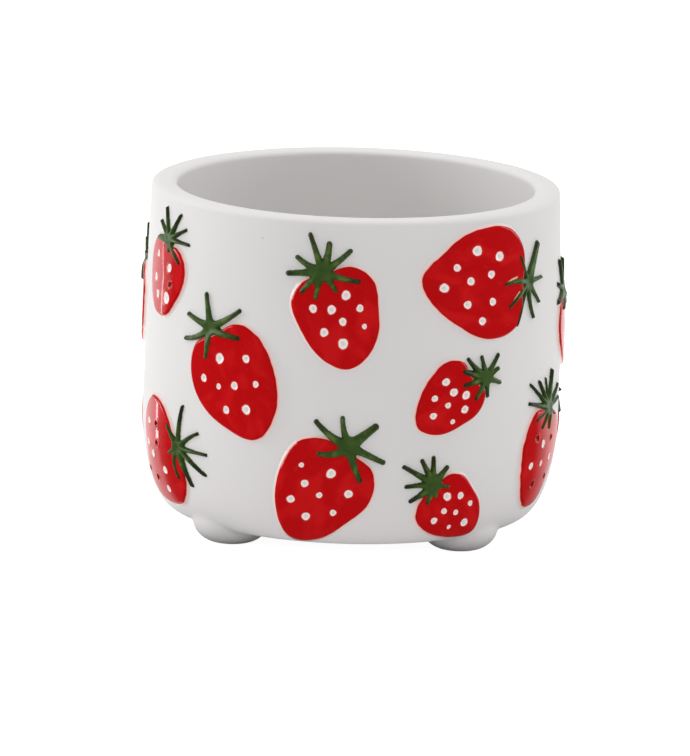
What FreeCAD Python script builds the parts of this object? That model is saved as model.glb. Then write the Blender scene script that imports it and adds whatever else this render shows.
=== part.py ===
import FreeCAD, Part
import math
import os

# A small round ceramic planter on four bun feet, with raised strawberries scattered round its side.
# Lengths are millimetres and angles are degrees. The origin is on the ground under the middle of
# the pot, +Z is up and the front faces -Y. An azimuth is 0 at the front and grows towards +X.

# The pot: a thick-walled cup with a slightly barrelled side and a rounded lower corner
rim_radius = 62.5
belly_bulge = 1.4
corner_run = 9.9
corner_height = 30.0
body_height = 100.6
wall = 7.8
floor_thickness = 8.0
inner_corner_run = 10.0
inner_corner_height = 18.0
rim_rounding = 2.0

# The feet: low buns in a ring, their round sides running up into the lower corner of the pot
foot_height = 5.4
foot_radius = 11.8
foot_pad_radius = 4.3
foot_rounding_height = 7.0
foot_inset = 7.0

# The relief: fruits and their leaf caps stand off the wall, and seeds are small dimples
fruit_length = 38.0
fruit_relief = 1.2
leaf_length = 12.0
leaf_root_width = 4.4
leaf_tip_width = 2.1
leaf_hub_radius = 3.5
leaf_relief = 2.0
seed_width = 2.2
seed_depth = 0.6

# Sizes that follow from the ones above
belly_radius = rim_radius + belly_bulge
base_radius = belly_radius - corner_run
foot_ring_radius = base_radius - foot_inset
overrun = wall

FEET = (
    ("foot_front_left", -48.5),
    ("foot_front_right", 46.5),
    ("foot_back_right", 135),
    ("foot_back_left", -135),
)

# Strawberry designs, each in its own frame: the middle of the fruit is the origin and the stalk
# end points up. The outline shares are the fruit's reach every 30 degrees, clockwise from the
# stalk end, and the hub and seed shares are (across, along): all are shares of half the fruit's
# length. Each leaf is its direction, clockwise from the stalk end, and its share of leaf_length
# on a strawberry of full size.
DESIGNS = {
    "plump": {
        "outline_shares": (0.83, 0.94, 0.90, 0.80, 0.81, 0.93, 1.01, 0.81, 0.77, 0.81, 0.90, 0.94),
        "hub_shares": (-0.04, 0.93),
        "leaf_shares": ((15, 0.91), (86, 1.10), (127, 0.96), (216, 0.86), (271, 1.04), (312, 0.88)),
        "seed_shares": ((-0.05, 0.41), (-0.50, 0.23), (0.42, 0.24), (-0.26, 0.01), (0.04, -0.08),
                        (0.41, -0.19), (-0.28, -0.38), (0.08, -0.50)),
    },
    "upright": {
        "outline_shares": (0.84, 1.00, 0.97, 0.82, 0.84, 0.94, 1.01, 0.86, 0.74, 0.74, 0.89, 0.91),
        "hub_shares": (-0.05, 0.86),
        "leaf_shares": ((355, 1.22), (27, 0.94), (66, 1.10), (117, 1.17), (157, 0.73), (208, 0.85),
                        (240, 0.91), (279, 1.10), (312, 0.93)),
        "seed_shares": ((0.28, 0.36), (-0.37, 0.25), (-0.04, 0.16), (0.47, 0.07), (0.11, -0.10),
                        (-0.27, -0.22), (0.47, -0.28), (0.02, -0.50)),
    },
    "heart": {
        "outline_shares": (1.03, 1.18, 1.00, 0.81, 0.76, 0.86, 1.01, 0.85, 0.85, 0.92, 1.08, 1.11),
        "hub_shares": (-0.07, 1.10),
        "leaf_shares": ((349, 0.69), (40, 0.83), (65, 1.03), (103, 1.19), (133, 0.94), (175, 0.93),
                        (236, 0.80), (284, 1.09)),
        "seed_shares": ((-0.47, 0.33), (-0.18, 0.21), (0.26, 0.32), (-0.53, -0.13), (0.57, 0.17),
                        (-0.04, -0.17), (0.34, -0.17), (-0.23, -0.46), (0.11, -0.63)),
    },
    "slim": {
        "outline_shares": (0.85, 1.07, 0.98, 0.82, 0.84, 0.98, 1.10, 0.90, 0.80, 0.84, 0.98, 0.99),
        "hub_shares": (0.24, 1.12),
        "leaf_shares": ((341, 1.12), (11, 0.78), (58, 0.87), (120, 0.86), (158, 1.05), (205, 1.17),
                        (234, 1.22), (258, 1.29), (290, 0.97)),
        "seed_shares": ((0.18, 0.40), (-0.46, 0.15), (-0.11, 0.17), (0.46, 0.17), (0.06, -0.14),
                        (0.49, -0.27), (-0.31, -0.32), (0.03, -0.60)),
    },
    "broad": {
        "outline_shares": (0.79, 0.86, 0.79, 0.69, 0.67, 0.84, 1.03, 0.89, 0.81, 0.83, 0.93, 0.88),
        "hub_shares": (-0.09, 0.85),
        "leaf_shares": ((312, 0.82), (18, 0.92), (83, 1.01), (129, 0.99), (222, 0.86), (272, 1.13)),
        "seed_shares": ((-0.08, 0.33), (-0.54, 0.17), (-0.33, -0.06), (0.34, 0.20), (-0.03, -0.08),
                        (0.31, -0.21), (-0.36, -0.42), (-0.01, -0.52)),
    },
    "round": {
        "outline_shares": (0.84, 0.89, 0.86, 0.74, 0.79, 0.96, 1.18, 0.95, 0.86, 0.91, 1.01, 0.93),
        "hub_shares": (0.03, 0.91),
        "leaf_shares": ((346, 1.51), (18, 1.18), (44, 1.15), (89, 0.97), (150, 0.82), (207, 0.66),
                        (236, 0.90), (275, 1.20), (311, 1.18)),
        "seed_shares": ((0.07, 0.35), (0.33, 0.07), (-0.23, 0.10), (-0.56, 0.09), (-0.04, -0.19),
                        (0.39, -0.33), (-0.39, -0.39), (-0.02, -0.64)),
    },
    "squat": {
        "outline_shares": (0.86, 0.91, 0.94, 0.81, 0.73, 0.78, 0.95, 1.04, 0.94, 0.92, 1.02, 1.09),
        "hub_shares": (0.13, 0.95),
        "leaf_shares": ((342, 1.25), (33, 1.30), (62, 1.25), (89, 1.36), (132, 1.19), (175, 0.54),
                        (264, 0.95), (304, 1.03)),
        "seed_shares": ((-0.40, 0.49), (0.23, 0.27), (-0.47, -0.08), (0.32, -0.12), (-0.31, -0.46),
                        (0.16, -0.46)),
    },
    "tall": {
        "outline_shares": (0.93, 1.07, 0.92, 0.75, 0.75, 0.93, 0.90, 0.74, 0.65, 0.69, 0.77, 0.94),
        "hub_shares": (-0.07, 0.94),
        "leaf_shares": ((267, 1.20), (290, 1.41), (307, 1.10), (330, 0.94), (357, 1.13), (42, 1.05),
                        (66, 1.01), (101, 0.68), (155, 0.70), (198, 0.72), (232, 0.83)),
        "seed_shares": ((-0.32, 0.34), (-0.04, 0.28), (0.28, 0.43), (-0.32, -0.17), (0.04, -0.07),
                        (0.41, 0.09), (-0.05, -0.47), (0.42, -0.28)),
    },
    "wide": {
        "outline_shares": (0.85, 1.09, 1.22, 1.14, 1.06, 0.88, 0.72, 0.78, 1.02, 1.18, 1.02, 0.86),
        "hub_shares": (-0.05, 0.98),
        "leaf_shares": ((288, 1.48), (336, 1.14), (13, 1.28), (44, 1.40), (80, 1.35), (109, 1.12),
                        (166, 0.71), (239, 0.93)),
        "seed_shares": ((-0.63, -0.25), (-0.55, 0.15), (-0.19, -0.41), (-0.15, 0.08), (0.06, -0.21),
                        (0.36, -0.62), (0.41, 0.25), (0.55, -0.22), (0.80, 0.15)),
    },
}

# Where each strawberry sits: design, azimuth, share of the body height, tilt (the stalk end leans
# clockwise, seen from outside) and share of fruit_length
BERRY_SHARES = (
    ("plump", -33.5, 0.487, -27, 1.00),
    ("upright", -4.5, 0.711, -15, 0.86),
    ("heart", 35.6, 0.799, 99, 1.00),
    ("slim", 27.5, 0.457, 54, 0.64),
    ("broad", -6.5, 0.179, 33, 0.99),
    ("round", 30.0, 0.124, -45, 0.64),
    ("squat", -62.3, 0.750, 2, 0.68),
    ("tall", 64.0, 0.219, 17, 0.89),
    ("wide", -64.8, 0.210, 78, 0.78),
    ("upright", -95.0, 0.620, 4, 0.76),
    ("round", 89.5, 0.590, -23, 0.72),
    ("round", -106.0, 0.270, -27, 0.72),
    ("plump", 109.0, 0.235, -34, 0.88),
    ("wide", 121.0, 0.760, 66, 0.70),
    ("broad", 141.0, 0.420, -5, 0.94),
    ("slim", 160.0, 0.150, 48, 0.74),
    ("heart", 163.0, 0.740, 73, 0.92),
    ("upright", -172.0, 0.440, 14, 0.84),
    ("squat", -146.0, 0.170, -16, 0.72),
    ("tall", -132.0, 0.690, -30, 0.82),
)


def at(radius, height):
    """A point of a profile that is turned about Z, the height taken from the pot's underside."""
    return FreeCAD.Vector(radius, 0, foot_height + height)


def quarter_ellipse(centre_radius, centre_height, run, rise):
    """The quarter of an upright ellipse from its lowest point out to its side."""
    low = at(centre_radius, centre_height - rise)
    corner = at(centre_radius + run, centre_height - rise)
    side = at(centre_radius + run, centre_height)
    curve = Part.BezierCurve()
    curve.setPoles([low, corner, side])
    curve.setWeight(2, quarter_weight)
    return curve.toShape()


def leaning_wall(low_radius, low_height, high_radius, high_height):
    """A wall's profile that starts upright and leans in towards its top, as a parabola."""
    curve = Part.BezierCurve()
    curve.setPoles([at(low_radius, low_height),
                    at(low_radius, (low_height + high_height) / 2),
                    at(high_radius, high_height)])
    return curve.toShape()


def line(start, end):
    return Part.makeLine(start, end)


def turned(edges):
    """The solid that a closed profile sweeps round the Z axis."""
    face = Part.Face(Part.Wire(Part.__sortEdges__(edges)))
    return face.revolve(FreeCAD.Vector(0, 0, 0), FreeCAD.Vector(0, 0, 1), full_turn)


def wall_radius(height, stand_off=0.0):
    """Outer radius of the pot at a height above its underside, or of a skin that stands off it."""
    run = corner_run + stand_off
    rise = corner_height + stand_off
    if height < corner_height:
        drop = min(1.0, (corner_height - height) / rise)
        return base_radius + run * math.sqrt(1.0 - drop * drop)
    climb = (height - corner_height) / (wall_top - corner_height)
    return belly_radius - belly_bulge * climb * climb + stand_off


def outer_side(stand_off=0.0):
    """The underside, lower corner and barrelled wall of the pot, or of a skin that stands off it."""
    low_corner = quarter_ellipse(base_radius, corner_height,
                                 corner_run + stand_off, corner_height + stand_off)
    side = leaning_wall(wall_radius(corner_height, stand_off), corner_height,
                        wall_radius(wall_top, stand_off), wall_top)
    underside = line(at(0, -stand_off), at(base_radius, -stand_off))
    return [underside, low_corner, side]


def core(stand_off=0.0):
    """The pot's outer form as a full block up to the rim's rounding."""
    top_radius = wall_radius(wall_top, stand_off)
    top = line(at(top_radius, wall_top), at(0, wall_top))
    middle = line(at(0, wall_top), at(0, -stand_off))
    return turned(outer_side(stand_off) + [top, middle])


def rounding(centre_radius, side):
    """A quarter of the rim's rounding, on its outer side for 1 and its inner side for -1."""
    reach = rim_rounding * quarter_weight
    start = at(centre_radius + side * rim_rounding, wall_top)
    middle = at(centre_radius + side * reach, wall_top + reach)
    end = at(centre_radius, body_height)
    return Part.Arc(start, middle, end).toShape()


def pot_body():
    """The cup: outer wall, rounded rim, inner wall, inner corner and floor, turned in one profile."""
    inner_rim_radius = rim_radius - wall
    inner_belly_radius = belly_radius - wall
    inner_corner_top = floor_thickness + inner_corner_height
    inner_base_radius = inner_belly_radius - inner_corner_run
    outer_round = rim_radius - rim_rounding
    inner_round = inner_rim_radius + rim_rounding
    inner_side = leaning_wall(inner_belly_radius, inner_corner_top, inner_rim_radius, wall_top)
    edges = outer_side() + [
        rounding(outer_round, 1),
        line(at(outer_round, body_height), at(inner_round, body_height)),
        rounding(inner_round, -1),
        inner_side,
        quarter_ellipse(inner_base_radius, inner_corner_top, inner_corner_run, inner_corner_height),
        line(at(inner_base_radius, floor_thickness), at(0, floor_thickness)),
        line(at(0, floor_thickness), at(0, 0)),
    ]
    return turned(edges)


def foot(azimuth, pot_core):
    """A bun foot: a flat pad, a rounded side, and a top that is cut to the pot's underside."""
    top = corner_height
    pad = line(at(0, -foot_height), at(foot_pad_radius, -foot_height))
    side_height = foot_rounding_height - foot_height
    round_side = quarter_ellipse(foot_pad_radius, side_height,
                                 foot_radius - foot_pad_radius, foot_rounding_height)
    side = line(at(foot_radius, side_height), at(foot_radius, top))
    cover = line(at(foot_radius, top), at(0, top))
    middle = line(at(0, top), at(0, -foot_height))
    bun = turned([pad, round_side, side, cover, middle])
    outward, _ = directions(azimuth)
    bun.translate(outward * foot_ring_radius)
    return bun.cut(pot_core)


def directions(azimuth):
    """The outward and the rightward direction, as seen from outside, at an azimuth."""
    angle = math.radians(azimuth)
    outward = FreeCAD.Vector(math.sin(angle), -math.cos(angle), 0)
    rightward = FreeCAD.Vector(math.cos(angle), math.sin(angle), 0)
    return outward, rightward


class Place:
    """The upright plane in front of the wall on which one strawberry is drawn."""

    def __init__(self, azimuth, height, tilt, length_share):
        self.outward, self.rightward = directions(azimuth)
        self.height = height
        self.tilt = math.radians(tilt)
        self.half_length = fruit_length / 2 * length_share
        self.length_share = length_share

    def across_and_up(self, x, y):
        """Turn a point of the strawberry's own frame by its tilt, and lift it to its height."""
        across = x * math.cos(self.tilt) + y * math.sin(self.tilt)
        up = self.height - x * math.sin(self.tilt) + y * math.cos(self.tilt)
        return across, up

    def point(self, x, y):
        """A point of the strawberry's own frame, on the plane where its prism starts."""
        across, up = self.across_and_up(x, y)
        spot = self.outward * prism_start + self.rightward * across
        spot.z = foot_height + up
        return spot

    def prism(self, edges):
        """A closed outline carried outwards through the wall's surface."""
        face = Part.Face(Part.Wire(edges))
        return face.extrude(self.outward * (belly_radius + leaf_relief + overrun - prism_start))

    def surface(self, x, y, stand_off):
        """The point that faces (x, y) on a skin that stands off the wall, and its outward normal."""
        across, up = self.across_and_up(x, y)
        radius = wall_radius(up, stand_off)
        depth = math.sqrt(radius * radius - across * across)
        spot = self.outward * depth + self.rightward * across
        normal = FreeCAD.Vector(spot.x, spot.y, 0)
        normal.normalize()
        if up < corner_height:
            drop = (corner_height - up) / (corner_height + stand_off)
            slope = drop / math.sqrt(1.0 - drop * drop)
            normal.z = -slope * (corner_run + stand_off) / (corner_height + stand_off)
            normal.normalize()
        spot.z = foot_height + up
        return spot, normal


def polar(reach, direction):
    """A point at a reach from the origin, its direction clockwise from the stalk end."""
    angle = math.radians(direction)
    return reach * math.sin(angle), reach * math.cos(angle)


def fruit_prism(place, design):
    """The fruit's outline as one smooth closed curve through its reach in twelve directions."""
    shares = design["outline_shares"]
    step = full_turn / len(shares)
    points = [place.point(*polar(share * place.half_length, index * step))
              for index, share in enumerate(shares)]
    outline = Part.BSplineCurve()
    outline.interpolate(Points=points, PeriodicFlag=True)
    return place.prism([outline.toShape()])


def leaf_prism(place, design):
    """The leaf cap's outline: narrow tapering leaves with round ends, round a small hub."""
    hub_x, hub_y = [share * place.half_length for share in design["hub_shares"]]
    leaves = sorted((direction % full_turn, share) for direction, share in design["leaf_shares"])
    count = len(leaves)
    hub_radius = leaf_hub_radius * place.length_share
    half_tip = leaf_tip_width / 2
    root_half_angle = math.degrees(math.asin(leaf_root_width / 2 / leaf_hub_radius))

    def from_hub(reach, direction, aside=0.0):
        ahead_x, ahead_y = polar(reach, direction)
        aside_x, aside_y = polar(aside, direction + quarter_turn)
        return place.point(hub_x + ahead_x + aside_x, hub_y + ahead_y + aside_y)

    corners = []
    for index, (direction, share) in enumerate(leaves):
        gap_before = (direction - leaves[index - 1][0]) % full_turn
        gap_after = (leaves[(index + 1) % count][0] - direction) % full_turn
        before = from_hub(hub_radius, direction - min(root_half_angle, gap_before / 2))
        after = from_hub(hub_radius, direction + min(root_half_angle, gap_after / 2))
        reach = leaf_length * share * place.length_share
        shoulder = max(reach - half_tip, hub_radius)
        corners.append((before, from_hub(shoulder, direction, -half_tip),
                        from_hub(shoulder + half_tip, direction),
                        from_hub(shoulder, direction, half_tip), after))
    edges = []
    for index, (before, left, tip, right, after) in enumerate(corners):
        edges += [line(before, left), Part.Arc(left, tip, right).toShape(), line(right, after)]
        following = corners[(index + 1) % count][0]
        if after.distanceToPoint(following) > leaf_tip_width * meeting_share:
            edges.append(line(after, following))
    return place.prism(edges)


def seed_dimples(place, design):
    """Shallow round dimples, each a ball that sinks seed_depth into the fruit's face."""
    ball_radius = (seed_width * seed_width / 4 + seed_depth * seed_depth) / (2 * seed_depth)
    balls = []
    for x_share, y_share in design["seed_shares"]:
        spot, normal = place.surface(x_share * place.half_length, y_share * place.half_length,
                                     fruit_relief)
        balls.append(Part.makeSphere(ball_radius, spot + normal * (ball_radius - seed_depth)))
    return balls


def strawberry(berry_share, fruit_skin, leaf_skin):
    """One raised fruit and its leaf cap, which lies partly on the fruit and partly on the wall."""
    name, azimuth, height_share, tilt, length_share = berry_share
    design = DESIGNS[name]
    place = Place(azimuth, height_share * body_height, tilt, length_share)
    fruit = fruit_prism(place, design).common(fruit_skin)
    cap = leaf_prism(place, design).common(leaf_skin).cut(fruit)
    return fruit.cut(seed_dimples(place, design)), cap


def save(shape, node):
    shape.exportStep(os.path.join("parts", node + ".step"))


full_turn = 360.0
quarter_turn = full_turn / 4
quarter_weight = math.sqrt(0.5)
meeting_share = 0.01
wall_top = body_height - rim_rounding
prism_start = base_radius - corner_run

os.makedirs("parts", exist_ok=True)
pot_core = core()
save(pot_body(), "pot_body")
for node, azimuth in FEET:
    save(foot(azimuth, pot_core), node)
fruit_skin = core(fruit_relief).cut(pot_core)
leaf_skin = core(leaf_relief).cut(pot_core)
for number, berry_share in enumerate(BERRY_SHARES, start=1):
    fruit, cap = strawberry(berry_share, fruit_skin, leaf_skin)
    save(fruit, "strawberry_%02d" % number)
    save(cap, "leaf_cap_%02d" % number)
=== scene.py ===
import math
from functools import partial

import bpy
import numpy as np
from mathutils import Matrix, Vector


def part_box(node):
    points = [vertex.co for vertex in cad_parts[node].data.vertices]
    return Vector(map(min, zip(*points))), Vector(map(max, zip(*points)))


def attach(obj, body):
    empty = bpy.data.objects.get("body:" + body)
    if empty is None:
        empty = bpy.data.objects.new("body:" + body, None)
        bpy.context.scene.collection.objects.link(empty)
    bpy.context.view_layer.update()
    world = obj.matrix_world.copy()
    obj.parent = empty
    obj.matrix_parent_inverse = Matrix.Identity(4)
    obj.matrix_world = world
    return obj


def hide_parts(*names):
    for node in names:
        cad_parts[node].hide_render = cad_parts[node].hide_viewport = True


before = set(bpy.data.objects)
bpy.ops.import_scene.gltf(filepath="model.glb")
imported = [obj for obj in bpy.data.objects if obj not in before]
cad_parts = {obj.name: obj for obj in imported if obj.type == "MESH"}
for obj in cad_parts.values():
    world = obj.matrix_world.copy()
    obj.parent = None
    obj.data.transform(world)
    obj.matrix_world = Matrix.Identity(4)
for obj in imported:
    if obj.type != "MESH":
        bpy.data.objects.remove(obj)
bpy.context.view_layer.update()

# The pot: one thick cup of white earthenware, slip-cast in a plaster mould, with a slightly
# barrelled side, a tall rounded lower corner and a broad soft rim. A soft white glaze covers it
# inside and out, and the casting leaves its walls a little uneven. Lengths here are millimetres.
MM = 0.001
pot_low, pot_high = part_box("pot_body")
foot_height = pot_low.z / MM
body_height = (pot_high.z - pot_low.z) / MM
belly_radius = pot_high.x / MM
belly_bulge = 1.4
rim_radius = belly_radius - belly_bulge
rim_rounding = 2.0
rim_squareness = 2.8
wall = 7.8
wall_top = body_height - rim_rounding
corner_run = 9.9
corner_height = 30.0
base_radius = belly_radius - corner_run
floor_thickness = 8.0
inner_corner_run = 10.0
inner_corner_height = 18.0
pot_segments = 300
floor_rows, corner_rows, side_rows, rim_rows, inner_rows = 9, 26, 56, 30, 40

# Each wave of the uneven wall: its height in mm, waves round the pot, radians per mm up, start
WAVES = (
    (0.10, 3, 0.035, 0.4),
    (0.06, 5, -0.060, 2.1),
    (0.03, 11, 0.110, 1.3),
)


def unevenness(azimuth, height):
    """How far the wall stands out at an azimuth and height: a few cosine waves that die out
    towards the flat underside."""
    waves = sum(size * np.cos(count * azimuth + climb * height + start)
                for size, count, climb, start in WAVES)
    return waves * np.clip(height / corner_height, 0.0, 1.0)


def wall_radius(height, stand_off=0.0):
    """Radius of the outer wall, or of a skin that stands off it: a quarter ellipse up to
    corner_height, and above it a parabola that leans in by belly_bulge at the top."""
    drop = np.clip((corner_height - height) / (corner_height + stand_off), 0.0, 1.0)
    climb = np.clip((height - corner_height) / (wall_top - corner_height), 0.0, None)
    corner = base_radius + (corner_run + stand_off) * np.sqrt(1.0 - drop**2)
    return corner - belly_bulge * climb**2


def pot_section():
    """Radius and height along the pot's section, from the middle of the underside, up the outer
    wall, over the rim as half of a squarish superellipse, and down to the middle of the floor."""
    quarter = np.linspace(0.0, math.pi / 2, corner_rows)
    under = np.linspace(0.0, base_radius, floor_rows)[:-1]
    side = np.linspace(corner_height, wall_top, side_rows)[1:-1]
    turn = np.linspace(0.0, math.pi, rim_rows)
    power = 2.0 / rim_squareness
    rim_across = np.sign(np.cos(turn)) * np.abs(np.cos(turn))**power
    rim_up = np.abs(np.sin(turn))**power
    inner_top = floor_thickness + inner_corner_height
    inner_side = np.linspace(wall_top, inner_top, inner_rows)[1:-1]
    inner_climb = (inner_side - inner_top) / (wall_top - inner_top)
    inner_belly = belly_radius - wall
    inner_base = inner_belly - inner_corner_run
    floor = np.linspace(inner_base, 0.0, floor_rows)[1:]
    radii = np.concatenate((
        under,
        base_radius + corner_run * np.sin(quarter),
        wall_radius(side),
        rim_radius - wall / 2 + wall / 2 * rim_across,
        inner_belly - belly_bulge * inner_climb**2,
        inner_base + inner_corner_run * np.cos(quarter),
        floor,
    ))
    heights = np.concatenate((
        np.zeros_like(under),
        corner_height * (1.0 - np.cos(quarter)),
        side,
        wall_top + rim_rounding * rim_up,
        inner_side,
        inner_top - inner_corner_height * np.sin(quarter),
        np.full_like(floor, floor_thickness),
    ))
    return radii, heights


def ring_faces(rings, count):
    """Faces of a stack of closed rings that runs between two poles. The first pole is vertex 0 and
    the last pole is the last vertex, and each pair of rings is joined by a band of quads."""
    here = np.arange(count)
    after = (here + 1) % count
    start = 1 + np.arange(rings - 1)[:, None] * count
    quads = np.stack((start + here, start + after, start + count + after, start + count + here), -1)
    last = 1 + (rings - 1) * count
    first_fan = np.stack((np.zeros_like(here), 1 + after, 1 + here), -1)
    last_fan = np.stack((last + here, last + after, np.full_like(here, last + count)), -1)
    return first_fan.tolist() + quads.reshape(-1, 4).tolist() + last_fan.tolist()


def ceramic_piece(name, points, faces, material, node, fields=None):
    """A smooth mesh piece from points in millimetres, with a number or a vector at each point for
    every named field. It rides on the pot and stands for its CAD node."""
    mesh = bpy.data.meshes.new(name)
    mesh.from_pydata(points * MM, [], faces)
    for field, values in (fields or {}).items():
        kind, key = ("FLOAT", "value") if values.ndim == 1 else ("FLOAT_VECTOR", "vector")
        layer = mesh.attributes.new(field, kind, "POINT")
        layer.data.foreach_set(key, values.astype(np.float32).ravel())
    mesh.materials.append(material)
    mesh.polygons.foreach_set("use_smooth", [True] * len(mesh.polygons))
    mesh.update()
    piece = bpy.data.objects.new(name, mesh)
    bpy.context.scene.collection.objects.link(piece)
    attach(piece, "root")
    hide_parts(node)
    return piece


def pot_points():
    """The section carried round the Z axis, each ring pushed out by the wall's unevenness."""
    radii, heights = pot_section()
    azimuth = np.linspace(0.0, 2 * math.pi, pot_segments, endpoint=False)
    ring_radii = radii[1:-1, None] + unevenness(azimuth, heights[1:-1, None])
    ring_heights = np.broadcast_to(heights[1:-1, None], ring_radii.shape)
    rings = np.stack((ring_radii * np.sin(azimuth), -ring_radii * np.cos(azimuth), ring_heights), -1)
    points = np.concatenate(([[0.0, 0.0, heights[0]]], rings.reshape(-1, 3),
                             [[0.0, 0.0, heights[-1]]]))
    points[:, 2] += foot_height
    return points, ring_faces(len(ring_radii), pot_segments)


def linear(code):
    """A linear colour from an sRGB hex code."""
    parts = np.array([int(code[i:i + 2], 16) for i in (1, 3, 5)]) / 255
    bright = np.where(parts <= 0.04045, parts / 12.92, ((parts + 0.055) / 1.055)**2.4)
    return (*bright.tolist(), 1.0)


def add_node(tree, kind, inputs=(), **settings):
    """A new node. Settings are its properties. Inputs are values, or the nodes or outputs that feed
    them: a tuple in the order of the sockets, or by a socket's name or number. A node stands for
    the first output that its settings leave in use."""
    made = tree.nodes.new("ShaderNode" + kind)
    for key, value in settings.items():
        setattr(made, key, value)
    pairs = inputs.items() if isinstance(inputs, dict) else enumerate(inputs)
    for socket, value in pairs:
        if isinstance(value, bpy.types.Node):
            value = next(output for output in value.outputs if output.enabled)
        if isinstance(value, bpy.types.NodeSocket):
            tree.links.new(value, made.inputs[socket])
        else:
            made.inputs[socket].default_value = value
    return made


def new_material(name):
    """An empty node material, and the function that adds a node to it."""
    material = bpy.data.materials.new(name)
    material.use_nodes = True
    material.node_tree.nodes.clear()
    return material, partial(add_node, material.node_tree)


# Settings that many nodes share: a mix of two colours, and a range that starts and ends softly
colours = {"data_type": "RGBA"}
soft_ends = {"interpolation_type": "SMOOTHSTEP"}


def noise_scale(size):
    """The scale of a noise whose blobs are about size millimetres wide, on coordinates in metres."""
    return 1.0 / (size * MM)


def glaze_surface(add, colour, roughness, ior, waves, strength, height):
    """The end of a glaze: one glossy shader over waves that are height millimetres high."""
    soft = add("Bump", {"Height": waves, "Strength": strength, "Distance": height * MM})
    shader = add("BsdfPrincipled", {"Base Color": colour, "Roughness": roughness, "IOR": ior,
                                    "Normal": soft})
    add("OutputMaterial", {"Surface": shader})


# Iron specks in the glaze, each with its azimuth, height and radius. A speck is full to the first
# share of its radius and gone by the second.
SPECKS = ((-25.0, 33.5, 0.30), (-26.0, 93.5, 0.28), (64.0, 50.0, 0.22), (-150.0, 60.0, 0.30))
speck_full_share, speck_gone_share = 0.4, 1.4
speck_strength = 0.45
# The widths of the slow drift in colour and of the glaze's ripples, and where the wiped clay ends
drift_size, ripple_size = 45, 7
ripple_height = 0.3
wiped_low, wiped_high = 0.15, 0.30
smoothest, roughest, bare_roughness = 0.42, 0.50, 0.8


def white_glaze():
    """Soft satin glaze over white earthenware: roughness about 0.45, and an IOR of 1.2 because its
    sheen is weak even at the sides. It is faintly wavy, with a warm grey-white body colour that
    drifts a little, the odd iron speck, and dull bare clay on the wiped bottoms of the feet."""
    material, add = new_material("white_glaze_earthenware")
    place = add("TexCoord").outputs["Object"]
    drift = add("TexNoise", {"Vector": place, "Scale": noise_scale(drift_size), "Detail": 2.0})
    white = add("Mix", {0: drift, 6: linear("#E9E7E6"), 7: linear("#E1DFDE")}, **colours)
    for azimuth, height, size in SPECKS:
        turn = math.radians(azimuth)
        radius = float(wall_radius(np.array(height)))
        spot = (radius * MM * math.sin(turn), -radius * MM * math.cos(turn),
                (foot_height + height) * MM)
        gap = add("VectorMath", (place, spot), operation="DISTANCE")
        mark = add("MapRange", (gap, size * speck_full_share * MM, size * speck_gone_share * MM,
                                speck_strength, 0.0))
        white = add("Mix", {0: mark, 6: white, 7: linear("#77706C")}, **colours)
    level = add("SeparateXYZ", (place,)).outputs["Z"]
    bare = add("MapRange", (level, wiped_low * MM, wiped_high * MM, 1.0, 0.0))
    colour = add("Mix", {0: bare, 6: white, 7: linear("#D9CFC2")}, **colours)
    gloss = add("MapRange", (drift, 0.0, 1.0, smoothest, roughest))
    dull = add("Mix", {0: bare, 2: gloss, 3: bare_roughness})
    ripple = add("TexNoise", {"Vector": place, "Scale": noise_scale(ripple_size), "Detail": 1.0})
    glaze_surface(add, colour, roughness=dull, ior=1.2, waves=ripple, strength=0.10,
                  height=ripple_height)
    return material


white = white_glaze()
points, faces = pot_points()
ceramic_piece("planter_cup", points, faces, white, "pot_body")


# The feet: four low buns, pressed from the same clay and stuck on with slip, so that a soft fillet
# runs from each into the pot's underside. They are glazed with the pot and wiped bare below.
foot_radius = 11.8
foot_pad_radius = 4.3
foot_rounding_height = 7.0
foot_inset = 7.0
foot_ring_radius = base_radius - foot_inset
foot_fillet = 1.1
foot_sunk = 0.5
foot_lid_height = foot_height + 1.5
foot_segments = 120
foot_rows, fillet_rows = 30, 9
FEET = (("foot_front_left", -48.5), ("foot_front_right", 46.5),
        ("foot_back_right", 135), ("foot_back_left", -135))


def underside(x, y):
    """Height of the pot's lower surface above the ground, over a point of the plan."""
    beyond = np.clip((np.hypot(x, y) - base_radius) / corner_run, 0.0, 1.0)
    return foot_height + corner_height * (1.0 - np.sqrt(1.0 - beyond**2))


def bun_radius(height):
    """Radius of the bun at a height above the ground: an ellipse from the pad, then upright."""
    left = 1.0 - np.clip(height / foot_rounding_height, 0.0, 1.0)
    return foot_pad_radius + (foot_radius - foot_pad_radius) * np.sqrt(1.0 - left**2)


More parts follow.
